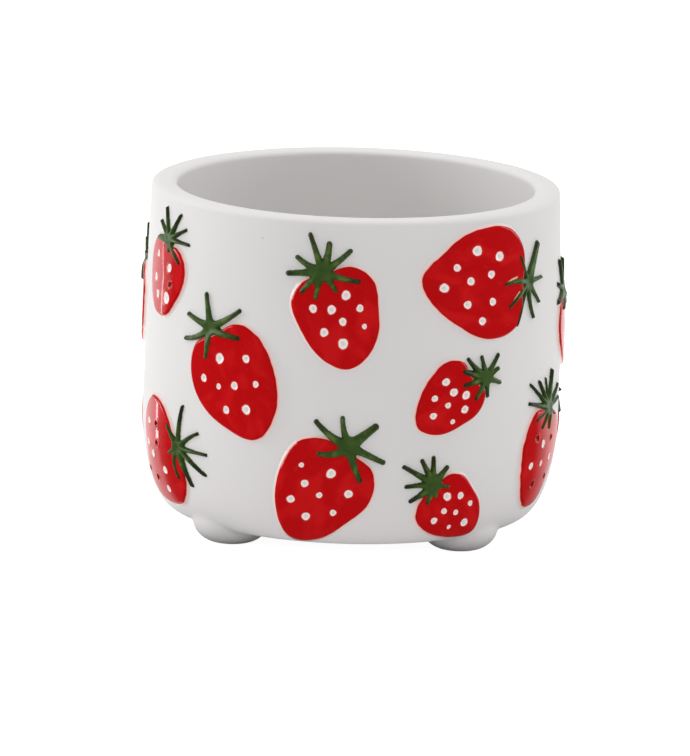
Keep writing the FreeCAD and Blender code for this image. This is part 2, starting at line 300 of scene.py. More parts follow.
def foot_points(azimuth):
    """Rings from the pad up the bun, then a fillet as a parabola between a point on the bun and
    one on the pot's underside, and a last ring and a lid that are sunk into the pot."""
    turn = math.radians(azimuth)
    middle_x = foot_ring_radius * math.sin(turn)
    middle_y = -foot_ring_radius * math.cos(turn)
    around = np.linspace(0.0, 2 * math.pi, foot_segments, endpoint=False)
    ahead_x, ahead_y = np.cos(around), np.sin(around)

    def lower_surface(reach):
        """Height of the pot's underside all round, at a reach from the foot's axis."""
        return underside(middle_x + reach * ahead_x, middle_y + reach * ahead_y)

    meeting = lower_surface(foot_radius)
    top = meeting - foot_fillet
    share = np.linspace(0.0, 1.0, foot_rows)[:, None]
    heights = top * (1.0 - np.cos(share * math.pi / 2))
    reaches = bun_radius(heights)
    outer = foot_radius + foot_fillet
    outer_height = lower_surface(outer)
    bend = np.linspace(0.0, 1.0, fillet_rows)[1:, None]
    fillet_reach = ((1 - bend)**2 * bun_radius(top) + 2 * bend * (1 - bend) * foot_radius
                    + bend**2 * outer)
    fillet_height = (1 - bend)**2 * top + 2 * bend * (1 - bend) * meeting + bend**2 * outer_height
    sunk = outer + foot_sunk
    reaches = np.concatenate((reaches, fillet_reach, np.full((1, foot_segments), sunk)))
    heights = np.concatenate((heights, fillet_height, lower_surface(sunk)[None] + foot_sunk))
    rings = np.stack((middle_x + reaches * ahead_x, middle_y + reaches * ahead_y, heights), -1)
    points = np.concatenate(([[middle_x, middle_y, 0.0]], rings.reshape(-1, 3),
                             [[middle_x, middle_y, foot_lid_height]]))
    return points, ring_faces(len(rings), foot_segments)


for node, azimuth in FEET:
    points, faces = foot_points(azimuth)
    ceramic_piece("bun_" + node, points, faces, white, node)


# The strawberries: flat fruits raised a millimetre or so off the wall, cast with the pot and
# brushed with glossy red glaze. The brush stops short of the edge, which stays pale, and just
# inside it the red is darkened as painted shade of the rounded edge. Each seed is a shallow pit
# left cream with a middle greyed as painted shade, or now and then flooded with red glaze that is
# painted dark as shade in the pit.
fruit_length = 38.0
fruit_relief = 1.2
fruit_crown = 0.25
edge_inside = 1.15
edge_outside = 0.35
edge_fullness = 0.8
fruit_sunk = 0.5
fruit_segments = 260
edge_rows, fewest_rings, rings_per_mm = 10, 12, 2.0
seed_width = 2.2
seed_depth = 0.5
seed_depth_share = 0.45
seed_softness = 1.3
lip_height = 0.06
lip_middle_share, lip_width_share = 1.15, 0.22
oval_share, wobble_share = 0.06, 0.03
oval_lean, oval_sway = 2.6, 0.5
phase_step = 2.4
brush_layer = 50.0

# Each design in its own frame: the middle of the fruit is the origin and the stalk end points up.
# The outline is the fruit's reach every 30 degrees, clockwise from the stalk end. The hub of the
# leaves is (across, along, share of leaf_hub_radius). A leaf is its direction, its share of
# leaf_length, its clockwise sag as a share of its own length, and its share of the usual width. A
# seed is (across, along, share of seed_width), with a negative share for a seed that red glaze has
# flooded, which is painted dark red as the glaze in the pit together with painted shade. A bare
# line, where the brush missed, runs from one place to another. The outline's reach and all places
# are shares of half the fruit's length.
DESIGNS = {
    "plump": {
        "outline_shares": (0.83, 0.945, 0.895, 0.8, 0.815, 0.925,
                           1.015, 0.815, 0.765, 0.815, 0.9, 0.94),
        "hub_shares": (-0.08, 0.93, 0.9),
        "leaf_shares": (
            (16, 0.91, 0, 0.9), (86, 1.12, 0.03, 0.85), (125, 1.02, 0.03, 0.9),
            (212, 0.83, -0.02, 0.9), (271, 1.04, -0.09, 0.85), (312, 0.88, -0.02, 0.9),
        ),
        "seed_shares": (
            (-0.05, 0.41, 1.4), (-0.5, 0.23, 1.05), (0.42, 0.24, 1.08), (-0.26, 0.01, 0.8),
            (0.04, -0.08, 1.12), (0.41, -0.19, 0.88), (-0.28, -0.38, 1.05), (0.08, -0.5, 1.3),
        ),
    },
    "upright": {
        "outline_shares": (0.84, 1.0, 0.975, 0.82, 0.84, 0.937,
                           1.015, 0.857, 0.737, 0.742, 0.885, 0.905),
        "hub_shares": (-0.05, 0.86, 1.0),
        "leaf_shares": (
            (355, 1.22, 0, 0.9), (27, 0.94, 0.04, 1.1), (66, 1.1, 0.03, 0.95),
            (117, 1.165, 0.02, 0.9), (157, 0.735, -0.03, 0.9), (208, 0.85, 0.04, 0.9),
            (240, 0.91, 0.04, 0.85), (279, 1.105, 0, 1.05), (312, 0.93, -0.055, 0.95),
        ),
        "seed_shares": (
            (0.28, 0.36, 1.25), (-0.37, 0.25, 1.12), (-0.04, 0.16, 1.2), (0.47, 0.07, 1.0),
            (0.11, -0.1, 1.05), (-0.27, -0.22, 1.15), (0.47, -0.28, 0.7), (0.02, -0.5, 1.4),
        ),
    },
    "heart": {
        "outline_shares": (1.03, 1.18, 1.0, 0.813, 0.756, 0.856,
                           1.006, 0.848, 0.852, 0.918, 1.08, 1.115),
        "hub_shares": (-0.07, 1.16, 0.8),
        "leaf_shares": (
            (349, 0.68, 0, 0.75), (40, 0.83, 0, 0.75), (66, 1.03, 0.06, 0.75),
            (105, 1.19, 0.02, 0.6), (138, 0.99, 0, 0.7), (176, 1.02, 0.06, 0.7),
            (232, 0.87, 0, 0.6), (284, 1.09, 0, 1.3),
        ),
        "bare_shares": (
            (-0.03, 0.56, -0.11, 0.68), (-0.11, 0.68, -0.15, 0.8), (0.08, 0.91, 0.18, 0.825),
            (0.18, 0.825, 0.33, 0.74),
        ),
        "seed_shares": (
            (-0.468, 0.333, 1.4), (-0.176, 0.209, 1.15), (0.255, 0.316, 1.1),
            (-0.528, -0.133, 1.45), (0.574, 0.169, 1.15), (-0.041, -0.175, 1.15),
            (0.335, -0.166, 1.15), (-0.232, -0.458, 1.05), (0.108, -0.626, 1.3),
        ),
    },
    "slim": {
        "outline_shares": (0.85, 1.075, 0.985, 0.82, 0.84, 0.985,
                           1.1, 0.895, 0.8, 0.837, 0.985, 0.995),
        "hub_shares": (0.29, 1.15, 1.0),
        "leaf_shares": (
            (340, 1.12, 0, 1.0), (10, 0.77, 0, 1.0), (58, 0.86, 0, 1.0), (121, 0.85, 0, 1.0),
            (163, 1.06, 0, 1.0), (207, 1.24, 0, 1.0), (234, 1.31, 0, 1.1), (258, 1.32, -0.04, 1.0),
            (289, 0.98, 0, 1.0),
        ),
        "seed_shares": (
            (0.185, 0.4, 1.2), (-0.46, 0.15, 1.1), (-0.11, 0.17, 1.15), (0.46, 0.17, 1.1),
            (0.06, -0.14, 0.85), (0.49, -0.27, 0.7), (-0.31, -0.32, 0.9), (0.03, -0.6, 0.95),
        ),
    },
    "broad": {
        "outline_shares": (0.79, 0.856, 0.79, 0.687, 0.67, 0.84,
                           1.035, 0.89, 0.81, 0.83, 0.933, 0.88),
        "hub_shares": (-0.085, 0.85, 1.0),
        "leaf_shares": (
            (312, 0.825, -0.06, 0.85), (18, 0.915, 0, 1.25), (83, 1.01, 0, 0.95),
            (129, 0.99, 0.03, 0.95), (222, 0.86, -0.11, 0.95), (272, 1.13, -0.065, 0.95),
        ),
        "seed_shares": (
            (-0.078, 0.331, 1.3), (-0.541, 0.165, 0.72), (-0.327, -0.056, 1.05),
            (0.339, 0.205, 1.15), (-0.03, -0.081, 0.85), (0.314, -0.206, 0.92),
            (-0.364, -0.419, 1.1), (-0.006, -0.519, 1.15),
        ),
    },
    "round": {
        "outline_shares": (0.84, 0.885, 0.865, 0.74, 0.79, 0.965,
                           1.18, 0.955, 0.86, 0.91, 1.006, 0.93),
        "hub_shares": (0.04, 0.86, 1.0),
        "leaf_shares": (
            (346, 1.53, 0, 1.0), (17, 1.19, 0, 1.0), (43, 1.16, 0, 1.0), (88, 0.96, 0, 1.1),
            (149, 0.74, 0, 0.8), (213, 0.6, 0, 0.9), (241, 0.88, 0, 1.0), (276, 1.2, -0.04, 1.1),
            (311, 1.19, 0, 1.0),
        ),
        "seed_shares": (
            (0.066, 0.35, 1.2), (0.327, 0.072, 1.0), (-0.231, 0.102, 0.85), (-0.564, 0.087, 0.95),
            (-0.036, -0.19, 0.8), (0.391, -0.329, 0.8), (-0.385, -0.392, 0.62),
            (-0.022, -0.644, 1.2),
        ),
    },
    "squat": {
        "outline_shares": (0.86, 0.91, 0.937, 0.815, 0.73, 0.775,
                           0.955, 1.045, 0.94, 0.915, 1.02, 1.09),
        "hub_shares": (-0.02, 0.91, 0.75),
        "leaf_shares": (
            (343, 1.25, 0, 0.75), (35, 1.36, 0, 0.8), (63, 1.34, 0, 0.8), (88, 1.45, 0, 0.8),
            (125, 1.31, 0, 0.8), (149, 0.55, 0, 0.75), (265, 0.84, 0, 1.1), (304, 1.03, 0, 0.75),
        ),
        "seed_shares": (
            (-0.401, 0.488, 1.0), (0.232, 0.273, 1.15), (-0.47, -0.081, 1.1), (0.319, -0.116, -1.0),
            (-0.308, -0.464, 1.1), (0.157, -0.464, 1.6),
        ),
    },
    "tall": {
        "outline_shares": (0.93, 1.07, 0.92, 0.75, 0.75, 0.925,
                           0.9, 0.745, 0.65, 0.69, 0.77, 0.935),
        "hub_shares": (0.07, 0.95, 0.8),
        "leaf_shares": (
            (267, 1.29, 0, 0.75), (289, 1.5, 0, 0.65), (305, 1.15, 0, 0.7), (328, 0.96, 0, 0.45),
            (357, 1.13, 0, 1.05), (47, 1.16, 0, 0.55), (69, 1.18, 0, 0.55), (106, 0.5, 0, 0.55),
            (174, 0.65, 0, 0.65), (213, 0.83, 0, 0.65), (239, 1.0, 0, 0.55),
        ),
        "seed_shares": (
            (-0.315, 0.337, -1.05), (-0.044, 0.275, 1.1), (0.284, 0.426, -1.0),
            (-0.324, -0.169, 1.0), (0.04, -0.075, 0.8), (0.408, 0.089, 1.0), (-0.053, -0.475, -1.1),
            (0.417, -0.279, -0.95),
        ),
    },
    "wide": {
        "outline_shares": (0.85, 1.09, 1.22, 1.14, 1.06, 0.875,
                           0.72, 0.775, 1.02, 1.18, 1.02, 0.86),
        "hub_shares": (-0.05, 0.86, 0.85),
        "leaf_shares": (
            (290, 1.5, -0.05, 0.7), (337, 1.2, -0.05, 0.75), (12, 1.35, 0, 0.75),
            (42, 1.45, 0.01, 0.8), (78, 1.36, 0.01, 0.75), (100, 1.07, 0.15, 0.65),
            (162, 0.53, 0, 0.8), (243, 0.9, -0.02, 0.65),
        ),
        "seed_shares": (
            (-0.628, -0.253, 1.0), (-0.547, 0.152, -1.05), (-0.192, -0.415, 1.0),
            (-0.152, 0.081, -1.05), (0.056, -0.213, 1.1), (0.364, -0.62, -0.9), (0.405, 0.248, 1.1),
            (0.547, -0.218, -1.05), (0.795, 0.152, 1.0),
        ),
    },
}

# Where each strawberry sits: design, azimuth, share of the body height, tilt (the stalk end leans
# clockwise, seen from outside) and share of fruit_length
BERRY_SHARES = (
    ("plump", -33.5, 0.487, -27, 1.00),
    ("upright", -4.5, 0.711, -15, 0.86),
    ("heart", 35.6, 0.799, 99, 1.00),
    ("slim", 27.5, 0.457, 54, 0.64),
    ("broad", -6.5, 0.179, 33, 0.99),
    ("round", 30.0, 0.124, -45, 0.64),
    ("squat", -62.3, 0.750, 2, 0.68),
    ("tall", 64.0, 0.219, 17, 0.89),
    ("wide", -64.8, 0.210, 78, 0.78),
    ("upright", -95.0, 0.620, 4, 0.76),
    ("round", 89.5, 0.590, -23, 0.72),
    ("round", -106.0, 0.270, -27, 0.72),
    ("plump", 109.0, 0.235, -34, 0.88),
    ("wide", 121.0, 0.760, 66, 0.70),
    ("broad", 141.0, 0.420, -5, 0.94),
    ("slim", 160.0, 0.150, 48, 0.74),
    ("heart", 163.0, 0.740, 73, 0.92),
    ("upright", -172.0, 0.440, 14, 0.84),
    ("squat", -146.0, 0.170, -16, 0.72),
    ("tall", -132.0, 0.690, -30, 0.82),
)


class Berry:
    """One strawberry: its design, and its place on the wall."""

    def __init__(self, number, shares):
        name, azimuth, height_share, tilt, self.size = shares
        self.number = number
        self.design = DESIGNS[name]
        self.azimuth = math.radians(azimuth)
        self.height = height_share * body_height
        self.tilt = math.radians(tilt)
        self.half_length = fruit_length / 2 * self.size

    def on_wall(self, x, y, relief):
        """Points of space that face (x, y) of the strawberry's frame and stand relief off the wall:
        the frame is tilted, then wrapped straight back onto the uneven wall."""
        right = x * math.cos(self.tilt) + y * math.sin(self.tilt)
        up = self.height - x * math.sin(self.tilt) + y * math.cos(self.tilt)
        radius = wall_radius(up, relief)
        azimuth = self.azimuth + np.arcsin(right / radius)
        radius = radius + unevenness(azimuth, up)
        return np.stack((radius * np.sin(azimuth), -radius * np.cos(azimuth), foot_height + up), -1)


def closed_curve(values, count):
    """A smooth closed curve through evenly spaced values, as a periodic cubic spline: its second
    differences solve a ring of three-term equations."""
    knots = len(values)
    ring = 4 * np.eye(knots) + np.roll(np.eye(knots), 1, 0) + np.roll(np.eye(knots), -1, 0)
    bends = np.linalg.solve(ring, 6 * (np.roll(values, 1, 0) - 2 * values + np.roll(values, -1, 0)))
    place = np.linspace(0.0, knots, count, endpoint=False)
    here = np.floor(place).astype(int)
    after = (here + 1) % knots
    t = (place - here)[:, None]
    return ((1 - t) * values[here] + t * values[after]
            + ((1 - t)**3 - (1 - t)) * bends[here] / 6 + (t**3 - t) * bends[after] / 6)


def fruit_outline(berry):
    """The outline and its outward unit normals, clockwise from the stalk end."""
    shares = np.array(berry.design["outline_shares"])
    angle = np.linspace(0.0, 2 * math.pi, len(shares), endpoint=False)
    reach = shares * berry.half_length
    outline = closed_curve(np.stack((reach * np.sin(angle), reach * np.cos(angle)), -1),
                           fruit_segments)
    along = np.roll(outline, -1, 0) - np.roll(outline, 1, 0)
    along /= np.linalg.norm(along, axis=1)[:, None]
    return outline, np.stack((-along[:, 1], along[:, 0]), -1)


# A distance, or a share of a seed, that stands for nothing near
FAR = 9.0


def seed_fields(berry, x, y):
    """At each point, the distance from the nearest seed's middle as a share of that seed's own
    wobbly oval, the seed's half width, and 1 where red glaze has flooded it and the pit is painted
    dark as shade."""
    nearest = np.full_like(x, FAR)
    half_width = np.ones_like(x)
    flooded_and_shaded = np.zeros_like(x)
    for index, (across_share, along_share, width_share) in enumerate(berry.design["seed_shares"]):
        phase = phase_step * index + berry.number
        gap_x = x - across_share * berry.half_length
        gap_y = y - along_share * berry.half_length
        turn = np.arctan2(gap_y, gap_x)
        wobble = 1.0 + oval_share * np.cos(2 * turn - oval_lean + oval_sway * math.sin(phase))
        wobble = wobble + wobble_share * np.cos(3 * turn + phase)
        half = abs(width_share) * seed_width / 2
        share = np.hypot(gap_x, gap_y) / (half * wobble)
        closer = share < nearest
        nearest = np.where(closer, share, nearest)
        half_width = np.where(closer, half, half_width)
        flooded_and_shaded = np.where(closer, float(width_share < 0), flooded_and_shaded)
    return nearest, half_width, flooded_and_shaded


def bare_gap(berry, x, y):
    """Distance from the nearest bare line beside a leaf, in millimetres."""
    gap = np.full_like(x, FAR)
    for shares in berry.design.get("bare_shares", ()):
        from_x, from_y, to_x, to_y = (share * berry.half_length for share in shares)
        run_x, run_y = to_x - from_x, to_y - from_y
        along = ((x - from_x) * run_x + (y - from_y) * run_y) / (run_x**2 + run_y**2)
        along = np.clip(along, 0.0, 1.0)
        gap = np.minimum(gap, np.hypot(x - from_x - along * run_x, y - from_y - along * run_y))
    return gap


def s_curve(share):
    """0 up to a share of 0, 1 from a share of 1, and a cubic that starts and ends level between."""
    share = np.clip(share, 0.0, 1.0)
    return share * share * (3.0 - 2.0 * share)


def fruit_relief_at(inside, crown_share, seed_share, seed_half):
    """Height of the fruit off the wall: an S-shaped edge, a low crown in the middle, and a rounded
    pit with a faint lip at each seed."""
    rise = s_curve((inside + edge_outside) / (edge_inside + edge_outside))**edge_fullness
    pit = np.clip(1.0 - seed_share**2, 0.0, None)**seed_softness
    lip = np.exp(-((seed_share - lip_middle_share) / lip_width_share)**2)
    depth = np.minimum(seed_depth, seed_depth_share * seed_half)
    return rise * (fruit_relief + fruit_crown * crown_share) - depth * pit + lip_height * lip


def brush_place(berry, x, y):
    """Coordinates for the brushwork in millimetres, with each strawberry on a layer of its own."""
    return np.stack((x, y, np.full_like(x, brush_layer * berry.number)), -1)


def fruit_piece(berry, material):
    """Rings that grow from the middle of the fruit to its outline, with rows a sixth of a
    millimetre apart over the rounded edge, and a back that is sunk into the wall."""
    outline, normals = fruit_outline(berry)
    inner = outline - normals * edge_inside
    rings = fewest_rings + int(berry.half_length * rings_per_mm)
    inner_share = np.linspace(0.0, 1.0, rings)[1:, None, None]
    offsets = np.linspace(edge_inside, -edge_outside, edge_rows)[1:, None, None]
    plan = np.concatenate((inner * inner_share, outline - normals * offsets))
    reach = np.abs((inner * normals).sum(-1))
    inside = np.concatenate((edge_inside + (1 - inner_share[..., 0]) * reach,
                             np.broadcast_to(offsets[..., 0], (edge_rows - 1, fruit_segments))))
    crown_share = np.concatenate((1.0 - inner_share[..., 0]**2 + 0 * reach,
                                  np.zeros((edge_rows - 1, fruit_segments))))
    x = np.concatenate(([0.0], plan[..., 0].ravel(), plan[-1, :, 0]))
    y = np.concatenate(([0.0], plan[..., 1].ravel(), plan[-1, :, 1]))
    inside = np.concatenate(([berry.half_length], inside.ravel(), inside[-1]))
    crown_share = np.concatenate(([1.0], crown_share.ravel(), crown_share[-1]))
    seed_share, seed_half, flooded_and_shaded = seed_fields(berry, x, y)
    relief = fruit_relief_at(inside, crown_share, seed_share, seed_half)
    relief[-fruit_segments:] = -fruit_sunk
    points = berry.on_wall(np.append(x, 0.0), np.append(y, 0.0), np.append(relief, -fruit_sunk))
    fields = {
        "edge_mm": np.append(inside, 0.0),
        "seed_share": np.append(seed_share, FAR),
        "seed_flooded_and_shaded": np.append(flooded_and_shaded, 0.0),
        "bare_mm": np.append(bare_gap(berry, x, y), FAR),
        "brush_mm": brush_place(berry, np.append(x, 0.0), np.append(y, 0.0)),
    }
    faces = ring_faces(len(plan) + 1, fruit_segments)
    name = "strawberry_%02d" % berry.number
    ceramic_piece("painted_" + name, points, faces, material, name, fields)


# How close the marks of the brush lie, in marks per millimetre, how high its strokes stand and how
# they are stretched, and at which levels of the marks the glaze starts to thin and is thin
stroke_rate, wisp_rate, fine_rate, slow_rate = 0.16, 0.6, 0.9, 0.25
stroke_height, stroke_stretch = 0.25, (1.0, 0.5, 1.0)
thin_levels, wisp_levels = (0.46, 0.66), (0.60, 0.80)
# How far inside the edge each band of the paint starts and ends, and how uneven the bands are
uneven_paint = 0.20
pale_band, covered_band, edge_shade_band = (-0.12, 0.06), (0.26, 0.48), (0.50, 0.95)
missed_band = (0.15, 0.45)
# How far from a seed's middle each part of its colour starts and ends, in shares of its oval
uneven_seed_share = 0.16
pit_shade_shares, rim_shares, blush_shares = (0.25, 0.62), (0.88, 1.06), (0.98, 1.30)
# How strongly each of these colours is laid over the one before
streak_strength, edge_shade_strength, missed_strength, blush_strength = 0.25, 0.4, 0.9, 0.55


def red_glaze():
    """Glossy red glaze, brushed on by hand: deep red with slightly lighter strokes along the fruit,
    darker just inside the edge as painted shade of the rounded edge, then pale pink over the rounded
    edge and the white of the wall. Seeds are bare cream, greyer in the middle as painted shade in the
    pit. Flooded seeds are a dark red: the red glaze in the pit together with painted shade."""
    material, add = new_material("red_glaze_brushed")
    brush = add("Attribute", attribute_name="brush_mm").outputs["Vector"]
    edge = add("Attribute", attribute_name="edge_mm").outputs["Fac"]
    seed = add("Attribute", attribute_name="seed_share").outputs["Fac"]
    flooded_and_shaded = add("Attribute", attribute_name="seed_flooded_and_shaded").outputs["Fac"]
    bare = add("Attribute", attribute_name="bare_mm").outputs["Fac"]
    stretched = add("Mapping", {"Vector": brush, "Scale": stroke_stretch})
    strokes = add("TexNoise", {"Vector": stretched, "Scale": stroke_rate, "Detail": 3.0,
                               "Roughness": 0.5, "Distortion": 0.4})
    wisps = add("TexNoise", {"Vector": stretched, "Scale": wisp_rate, "Detail": 2.0})
    fine = add("TexNoise", {"Vector": brush, "Scale": fine_rate, "Detail": 2.0})
    slow = add("TexNoise", {"Vector": brush, "Scale": slow_rate, "Detail": 1.0})
    thin = add("MapRange", (strokes, *thin_levels), **soft_ends)
    red = add("Mix", {0: thin, 6: linear("#C00208"), 7: linear("#CE1014")}, **colours)
    streak = add("MapRange", (wisps, *wisp_levels, 0.0, streak_strength), **soft_ends)
    red = add("Mix", {0: streak, 6: red, 7: linear("#DE3028")}, **colours)

    uneven_edge = add("MapRange", (slow, 0.0, 1.0, -uneven_paint, uneven_paint))
    border = add("Math", (edge, uneven_edge), operation="ADD")
    pale = add("MapRange", (border, *pale_band))
    fringe = add("Mix", {0: pale, 6: linear("#E9E7E6"), 7: linear("#FFCFC4")}, **colours)
    # A darker band just inside the edge: painted shade of the rounded edge.
    edge_shade = add("MapRange", (border, *edge_shade_band, edge_shade_strength, 0.0))
    red = add("Mix", {0: edge_shade, 6: red, 7: linear("#960008")}, **colours)
    covered = add("MapRange", (border, *covered_band), **soft_ends)
    colour = add("Mix", {0: covered, 6: fringe, 7: red}, **colours)

    missed = add("MapRange", (bare, *missed_band, missed_strength, 0.0), **soft_ends)
    colour = add("Mix", {0: missed, 6: colour, 7: linear("#F0CDAA")}, **colours)

    uneven_seed = add("MapRange", (fine, 0.0, 1.0, -uneven_seed_share, uneven_seed_share))
    pit = add("Math", (seed, uneven_seed), operation="ADD")
    # The greyer middle of each seed is painted shade in the pit.
    middle = add("MapRange", (pit, *pit_shade_shares))
    cream_and_pit_shade = add("Mix", {0: middle, 6: linear("#EBE2E4"), 7: linear("#FFF6F1")}, **colours)
    # A flooded seed is painted dark red: the red glaze in the pit, darkened as painted shade.
    pit_colour = add("Mix", {0: flooded_and_shaded, 6: cream_and_pit_shade, 7: linear("#8E0A0C")}, **colours)
    blush = add("MapRange", (pit, *blush_shares, blush_strength, 0.0))
    colour = add("Mix", {0: blush, 6: colour, 7: linear("#E2554A")}, **colours)
    in_pit = add("MapRange", (pit, *rim_shares, 1.0, 0.0), **soft_ends)
    colour = add("Mix", {0: in_pit, 6: colour, 7: pit_colour}, **colours)

    glaze_surface(add, colour, roughness=0.08, ior=1.4, waves=strokes, strength=0.12,
                  height=stroke_height)
    return material


# The leaf caps: a small hub with narrow strap leaves that lie low on the wall and drape up over the
# top of the fruit, cast with it and brushed with a dark green glaze. On the wall the brush stops a
# hair short of the raised edge, which leaves a thin pale rim round each leaf.
leaf_length = 12.0
leaf_hub_radius = 3.0
leaf_root_half = 1.65
leaf_tip_half = 0.92
leaf_taper = 1.5
leaf_margin = 0.12
leaf_relief = 1.1
leaf_rounding = 0.8
leaf_drape = 0.8
drape_outside, drape_run = 1.2, 4.0
leaf_tuck = 0.15
crown_under_leaf = 0.3
leaf_sunk = 0.6
hub_dent, hub_dent_share = 0.3, 0.6
crotch_blend, crotch_fill_share = 0.4, 0.5
strap_points = 9
cell, grid_room = 0.2, 3 * leaf_tip_half
paint_blend = 0.6


def strap_depth(x, y, start, leaf):
    """Depth inside one leaf: the half width at the nearest point of its middle line, less the
    distance from it. The line runs out along the leaf's direction and sags to one side."""
    direction, length, sag, tip_half, root_half = leaf
    t = np.linspace(0.0, 1.0, strap_points)
    aside = sag * 4 * t * (1 - t) * length
    line_x = start[0] + length * t * math.sin(direction) + aside * math.cos(direction)
    line_y = start[1] + length * t * math.cos(direction) - aside * math.sin(direction)
    half = tip_half + (root_half - tip_half) * (1 - t)**leaf_taper
    depth = np.full_like(x, -np.inf)
    for k in range(strap_points - 1):
        run_x, run_y = line_x[k + 1] - line_x[k], line_y[k + 1] - line_y[k]
        share = ((x - line_x[k]) * run_x + (y - line_y[k]) * run_y) / (run_x**2 + run_y**2)
        share = np.clip(share, 0.0, 1.0)
        gap = np.hypot(x - line_x[k] - share * run_x, y - line_y[k] - share * run_y)
        depth = np.maximum(depth, half[k] + share * (half[k + 1] - half[k]) - gap)
    return depth


def leaf_layout(berry):
    """The hub's middle and radius, and each painted leaf as its direction, the length of its middle
    line, its sag, and its half widths at the tip and the root. Small caps have stouter leaves."""
    stout = math.sqrt(berry.size)
    hub = [share * berry.half_length for share in berry.design["hub_shares"][:2]]
    hub_radius = leaf_hub_radius * berry.design["hub_shares"][2] * stout
    leaves = []
    for direction, length_share, sag, width_share in berry.design["leaf_shares"]:
        tip_half = leaf_tip_half * width_share * stout
        root_half = leaf_root_half * width_share * stout
        length = leaf_length * length_share * berry.size - leaf_margin - tip_half
        leaves.append((math.radians(direction), length, sag, tip_half, root_half))
    return hub, hub_radius, leaves


def leaf_depth(berry, x, y):
    """Depth inside the leaf cap's raised outline, negative outside: the hub's disc and the leaves,
    joined by a smooth maximum that fills the crotches, and all a little wider than the paint."""
    hub, hub_radius, leaves = leaf_layout(berry)
    parts = [hub_radius - np.hypot(x - hub[0], y - hub[1])]
    parts += [strap_depth(x, y, hub, leaf) for leaf in leaves]
    deepest = np.max(parts, 0)
    overlap = crotch_blend * np.log(sum(np.exp((part - deepest) / crotch_blend) for part in parts))
    nearby = np.clip(1.0 + deepest / crotch_blend, 0.0, 1.0)
    return deepest + leaf_margin + crotch_fill_share * overlap * nearby


# Trimming: how near the outline a corner is slid onto it, as a share of a cell, in how many slides,
# and over what distance the slope is measured, and its least value
near_share, slides, probe, least_slope = 0.4, 4, 0.02, 0.3


def trimmed_grid(depth_at, middle, half_span):
    """A square grid trimmed to an outline. Cells with a corner inside are kept, and their corners
    near or beyond the outline are slid onto it along the slope of the depth. Gives the points'
    x, y and depth, and the kept cells."""
    count = 2 * int(half_span / cell) + 1
    axis = (np.arange(count) - count // 2) * cell
    x, y = np.meshgrid(middle[0] + axis, middle[1] + axis, indexing="ij")
    inside = depth_at(x, y) > near_share * cell
    kept = inside[:-1, :-1] | inside[1:, :-1] | inside[1:, 1:] | inside[:-1, 1:]
    slid_x, slid_y = x.copy(), y.copy()
    for _ in range(slides):
        depth = depth_at(slid_x, slid_y)
        slope_x = (depth_at(slid_x + probe, slid_y) - depth) / probe
        slope_y = (depth_at(slid_x, slid_y + probe) - depth) / probe
        push = np.where(inside, 0.0, -depth / np.maximum(slope_x**2 + slope_y**2, least_slope))
        slid_x += push * slope_x
        slid_y += push * slope_y
    index = np.arange(count * count).reshape(count, count)
    cells = np.stack((index[:-1, :-1], index[1:, :-1], index[1:, 1:], index[:-1, 1:]), -1)[kept]
    used, cells = np.unique(cells, return_inverse=True)
    depth = np.where(inside, depth_at(x, y), 0.0).ravel()[used]
    return slid_x.ravel()[used], slid_y.ravel()[used], depth, cells.reshape(-1, 4)


def closed_sheet(cells, count):
    """Faces of a closed body from the quads of its upper sheet: the same quads turned over as the
    back, whose points follow the upper ones, and a wall along every edge that has one quad."""
    starts = cells.ravel()
    ends = np.roll(cells, -1, 1).ravel()
    single = ~np.isin(starts * count + ends, ends * count + starts)
    a, b = starts[single], ends[single]
    walls = np.stack((b, a, a + count, b + count), -1)
    return np.concatenate((cells, cells[:, ::-1] + count, walls)).tolist()


def both_sheets(values):
    """Values for the upper points of a closed sheet, and again for the lower ones."""
    return np.concatenate((values, values))


def cap_piece(berry, material):
    """A trimmed grid raised over the hub and leaves, which drape from the fruit down to the wall,
    with S-shaped edges and a dent in the hub. The paint's depth is measured from the raised edge
    over the fruit, and from inside it elsewhere."""
    hub, hub_radius, leaves = leaf_layout(berry)
    span = max(leaf[1] for leaf in leaves) + grid_room
    x, y, depth, cells = trimmed_grid(lambda u, v: leaf_depth(berry, u, v), hub, span)
    from_hub = np.hypot(x - hub[0], y - hub[1])
    outline, _ = fruit_outline(berry)
    fruit_reach = np.interp(np.arctan2(x, y), np.arctan2(outline[:, 0], outline[:, 1]),
                            np.hypot(outline[:, 0], outline[:, 1]), period=2 * math.pi)
    inside = fruit_reach - np.hypot(x, y)
    on_fruit = np.clip(0.5 + inside / paint_blend, 0.0, 1.0)
    foot = fruit_relief_at(inside, crown_under_leaf, FAR, seed_width / 2) - leaf_tuck
    dent = hub_dent * np.exp(-(from_hub / (hub_dent_share * hub_radius))**2)
    top = leaf_relief + leaf_drape * s_curve((inside + drape_outside) / drape_run)
    relief = foot + (top - foot) * s_curve(depth / leaf_rounding)**edge_fullness - dent
    upper = berry.on_wall(x, y, relief)
    lower = berry.on_wall(x, y, np.full_like(x, -leaf_sunk))
    from_hub = both_sheets(from_hub)
    fields = {
        "paint_mm": both_sheets(depth - leaf_margin * (1.0 - on_fruit)),
        "hub_mm": from_hub / math.sqrt(berry.size),
        "reach_share": from_hub / (leaf_length * berry.size),
        "brush_mm": brush_place(berry, both_sheets(x), both_sheets(y)),
    }
    name = "leaf_cap_%02d" % berry.number
    ceramic_piece("painted_" + name, np.concatenate((upper, lower)), closed_sheet(cells, len(x)),
                  material, name, fields)


# Marks of the brush per millimetre, the height of its waves, how far from the hub the leaves' thin
# middles start and at which levels of the marks, and how far inside the edge each band of the paint
# starts and ends. The tips' band is in shares of leaf_length.
blotch_rate, speckle_rate = 0.30, 1.1
green_wave_height = 0.2
thin_starts, thin_full = 3.4, 5.5
worn_levels = (0.44, 0.60)
uneven_stroke = 0.14
ridge_band, dark_band, stroke_band = (0.35, 0.75), (0.50, 0.95), (-0.05, 0.13)
tip_shares = (1.15, 1.45)
worn_strength, dark_strength, tip_strength = 0.75, 0.8, 0.75


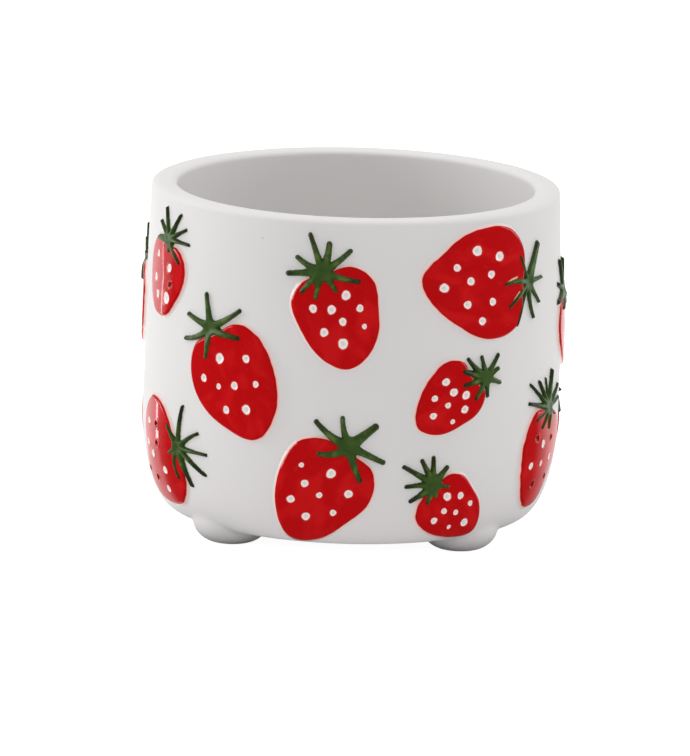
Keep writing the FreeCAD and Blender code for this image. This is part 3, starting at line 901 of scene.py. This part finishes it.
def green_glaze():
    """Satin dark green glaze, brushed on by hand: dull dark green, a little olive where it has run
    thin along some leaves and nearly black where it gathers at edges and tips. Outside the paint
    the raised clay shows its white glaze, faintly tinged."""
    material, add = new_material("green_glaze_brushed")
    brush = add("Attribute", attribute_name="brush_mm").outputs["Vector"]
    paint = add("Attribute", attribute_name="paint_mm").outputs["Fac"]
    hub = add("Attribute", attribute_name="hub_mm").outputs["Fac"]
    reach = add("Attribute", attribute_name="reach_share").outputs["Fac"]
    blotch = add("TexNoise", {"Vector": brush, "Scale": blotch_rate, "Detail": 2.0})
    fine = add("TexNoise", {"Vector": brush, "Scale": speckle_rate, "Detail": 2.0})
    body = add("Mix", {0: blotch, 6: linear("#24420E"), 7: linear("#4A6824")}, **colours)
    ridge = add("MapRange", (paint, *ridge_band), **soft_ends)
    on_leaf = add("MapRange", (hub, thin_starts, thin_full))
    worn = add("MapRange", (blotch, *worn_levels, 0.0, worn_strength), **soft_ends)
    thin = add("Math", (ridge, on_leaf), operation="MULTIPLY")
    thin = add("Math", (thin, worn), operation="MULTIPLY")
    colour = add("Mix", {0: thin, 6: body, 7: linear("#62762F")}, **colours)
    rough_edge = add("Math", (fine, paint), operation="ADD")
    dark = add("MapRange", (rough_edge, *dark_band, dark_strength, 0.0))
    colour = add("Mix", {0: dark, 6: colour, 7: linear("#182C0A")}, **colours)
    tip_place = add("Math", (reach, fine), operation="ADD")
    tip = add("MapRange", (tip_place, *tip_shares, 0.0, tip_strength))
    colour = add("Mix", {0: tip, 6: colour, 7: linear("#20280F")}, **colours)
    wavering = add("MapRange", (fine, 0.0, 1.0, -uneven_stroke, uneven_stroke))
    stroke = add("Math", (paint, wavering), operation="ADD")
    covered = add("MapRange", (stroke, *stroke_band), **soft_ends)
    colour = add("Mix", {0: covered, 6: linear("#E3E4DA"), 7: colour}, **colours)
    glaze_surface(add, colour, roughness=0.38, ior=1.4, waves=fine, strength=0.15,
                  height=green_wave_height)
    return material


red = red_glaze()
green = green_glaze()
for number, shares in enumerate(BERRY_SHARES, start=1):
    berry = Berry(number, shares)
    fruit_piece(berry, red)
    cap_piece(berry, green)


# The stage: a wide white table with a glow of its own, like a light table, which is painted light
# on the pot and is left out under the pot and round each foot as painted shadow. The glaze mirrors
# a painted reflection in the table's glow: a dark room over its front, and white paper on its back
# corners, beyond lines that run out from the sides of the pot. A narrow painted glint, not a lamp,
# follows the first line, on the left.
floor_half = 6.0
floor_glow = 0.42
camera_glow = 0.94
# How bright the painted reflection of a dark room over the table's front is
front_reflection_glow = 0.10
table_grain = 60
# How many metres from the middle, and from each foot, the table's glow starts and is full; nearer
# in, the glow is left out as painted shadow
glow_starts, glow_full = 0.040, 0.065
foot_glow_starts, foot_glow_full = 0.014, 0.026
# How many metres to the side the painted paper and the painted glint start, and how far past its
# line, in metres, the glint is full and gone
reflection_starts, glint_starts = 0.05, 0.14
glint_full, glint_gone = 0.004, 0.009
# Each line of painted reflection: its side of the pot, the x and y of the direction across it,
# towards the paper, its offset and soft edge in metres, how bright the painted paper is, and how
# much brighter the painted glint (lamp) is
PAINTED_REFLECTIONS = ((-1, 0.612, 0.791, 0.0580, 0.006, 0.75, 9.0), (-1, 0.375, 0.927, 0.0464, 0.06, 0.7, 0.0),
          (1, -0.438, 0.899, 0.0475, 0.05, 1.2, 0.0))


def floor_material():
    """Matt grey-white paint with a glow of its own, which is painted light on the pot and is left
    out near the middle and round each foot as painted shadow. Mirrored in the glaze, the glow is a
    painted reflection: the dark room's, or the paper's beyond a line, with a painted glint along the
    first."""
    material, add = new_material("matt_white_table")
    ray = add("LightPath").outputs
    place = add("TexCoord").outputs["Object"]
    grain = add("TexNoise", {"Vector": place, "Scale": noise_scale(table_grain), "Detail": 3.0})
    paint = add("Mix", {0: grain, 6: linear("#B6B6B6"), 7: linear("#B2B2B2")}, **colours)
    sideways = add("SeparateXYZ", (place,)).outputs["X"]
    reflection_glow = front_reflection_glow
    # Each line adds a painted reflection of white paper beyond it, and on the left a brighter painted
    # glint along it.
    for side, towards_x, towards_y, offset, soft, bright, lamp in PAINTED_REFLECTIONS:
        aside = add("Math", (sideways, float(side)), operation="MULTIPLY")
        glint_side = add("Math", (aside, glint_starts), operation="GREATER_THAN")
        aside = add("Math", (aside, reflection_starts), operation="GREATER_THAN")
        beyond = add("VectorMath", (place, (towards_x, towards_y, 0.0)), operation="DOT_PRODUCT")
        beyond = add("Math", (beyond, offset), operation="ADD")
        painted_paper = add("MapRange", (beyond, 0.0, soft, 0.0, bright))
        painted_glint = add("MapRange", (beyond, glint_full, glint_gone, lamp, 0.0))
        started = add("Math", (beyond, 0.0), operation="GREATER_THAN")
        for part in (started, glint_side):
            painted_glint = add("Math", (painted_glint, part), operation="MULTIPLY")
        painted_paper = add("Math", (painted_paper, painted_glint), operation="ADD")
        painted_paper = add("Math", (painted_paper, aside), operation="MULTIPLY")
        reflection_glow = add("Math", (reflection_glow, painted_paper), operation="ADD")
    # The glow is painted light, left out near the pot's middle and round each foot as painted shadow.
    reach = add("VectorMath", (place,), operation="LENGTH")
    glow_with_painted_shadow = add("MapRange", (reach, glow_starts, glow_full, 0.0, floor_glow))
    for _, azimuth in FEET:
        turn = math.radians(azimuth)
        below = (foot_ring_radius * MM * math.sin(turn), -foot_ring_radius * MM * math.cos(turn), 0)
        gap = add("VectorMath", (place, below), operation="DISTANCE")
        shaded = add("MapRange", (gap, foot_glow_starts, foot_glow_full))
        glow_with_painted_shadow = add("Math", (glow_with_painted_shadow, shaded), operation="MULTIPLY")
    glow = add("Mix", {0: ray["Is Camera Ray"], 2: glow_with_painted_shadow, 3: camera_glow})
    glow = add("Mix", {0: ray["Is Glossy Ray"], 2: glow, 3: reflection_glow})
    shown = add("Mix", {0: ray["Is Glossy Ray"], 6: paint, 7: linear("#000000")}, **colours)
    matt = add("BsdfDiffuse", {"Color": shown})
    light = add("Emission", {"Color": linear("#FFFFFF"), "Strength": glow})
    both = add("AddShader", {0: matt, 1: light})
    add("OutputMaterial", {"Surface": both})
    return material


floor_mesh = bpy.data.meshes.new("table")
floor_corners = [(-floor_half, -floor_half, 0.0), (floor_half, -floor_half, 0.0),
                 (floor_half, floor_half, 0.0), (-floor_half, floor_half, 0.0)]
floor_mesh.from_pydata(floor_corners, [], [(0, 1, 2, 3)])
floor_mesh.materials.append(floor_material())
table = bpy.data.objects.new("table", floor_mesh)
bpy.context.scene.collection.objects.link(table)

# The light: a white room as fill, brighter overhead, a tall softbox a little behind the pot on each
# side, the left one brighter, and a large weak one overhead. Mirrored in the glaze, the room is dim
# in front and white behind the pot, from the first to the second of two slants towards the back.
fill_low, fill_high = 0.54, 0.96
room_strength, behind_strength = 0.10, 0.7
behind_starts, behind_full = 0.25, 0.60


def studio_world():
    """White to the camera and to glass, a soft fill to matt surfaces that is brighter overhead, and
    to glossy ones white behind the pot that falls off to a dim room in front of it."""
    world = bpy.data.worlds.new("white_backdrop")
    world.use_nodes = True
    world.node_tree.nodes.clear()
    add = partial(add_node, world.node_tree)
    ray = add("LightPath").outputs
    direction = add("TexCoord").outputs["Generated"]
    towards = add("SeparateXYZ", (direction,)).outputs
    fill = add("MapRange", (towards["Z"], 0.0, 1.0, fill_low, fill_high))
    behind = add("MapRange", (towards["Y"], behind_starts, behind_full, room_strength,
                              behind_strength))
    seen = add("Math", (ray["Is Camera Ray"], ray["Is Transmission Ray"]), operation="MAXIMUM")
    matt = add("Mix", {0: ray["Is Glossy Ray"], 2: fill, 3: behind})
    level = add("Mix", {0: seen, 2: matt, 3: 1.0})
    back = add("Background", {"Color": linear("#FFFFFF"), "Strength": level})
    add("OutputWorld", {"Surface": back})
    bpy.context.scene.world = world


def softbox(name, azimuth, elevation, distance, width, height, watts):
    """A rectangular lamp that looks at the middle of the pot from an azimuth and an elevation."""
    lamp = bpy.data.lights.new(name, "AREA")
    lamp.shape = "RECTANGLE"
    lamp.size = width
    lamp.size_y = height
    lamp.energy = watts
    holder = bpy.data.objects.new(name, lamp)
    turn, rise = math.radians(azimuth), math.radians(elevation)
    away = Vector((math.sin(turn) * math.cos(rise), -math.cos(turn) * math.cos(rise),
                      math.sin(rise)))
    holder.location = away * distance + Vector((0.0, 0.0, body_height / 2 * MM))
    holder.rotation_euler = away.to_track_quat("Z", "Y").to_euler()
    bpy.context.scene.collection.objects.link(holder)


studio_world()
softbox("left_softbox", azimuth=-100, elevation=15, distance=1.3, width=0.4, height=0.8, watts=5.4)
softbox("right_softbox", azimuth=110, elevation=15, distance=1.3, width=0.4, height=0.8, watts=2.7)
softbox("overhead_softbox", azimuth=180, elevation=80, distance=1.4, width=0.8, height=0.8, watts=2.8)

# The camera: a long lens two metres away, a little above the rim, with a slight roll
camera_place = (0.0, -2.06825, 0.49275)
camera_aim = (-0.00188, 0.0, 0.04472)
camera_roll = 0.0274
lens = 327.5


def photo_camera():
    """A camera that looks from its place at its aim, and is then rolled about that line."""
    data = bpy.data.cameras.new("photo_camera")
    data.lens = lens
    data.sensor_width = 36.0
    data.clip_start, data.clip_end = 0.1, 50.0
    camera = bpy.data.objects.new("photo_camera", data)
    camera.location = camera_place
    ahead = Vector(camera_aim) - Vector(camera_place)
    level = ahead.to_track_quat("-Z", "Y").to_matrix()
    roll = Matrix.Rotation(camera_roll, 3, "Z")
    camera.rotation_euler = (level @ roll).to_euler()
    bpy.context.scene.collection.objects.link(camera)
    bpy.context.scene.camera = camera


photo_camera()
bpy.context.scene.view_settings.view_transform = "Standard"
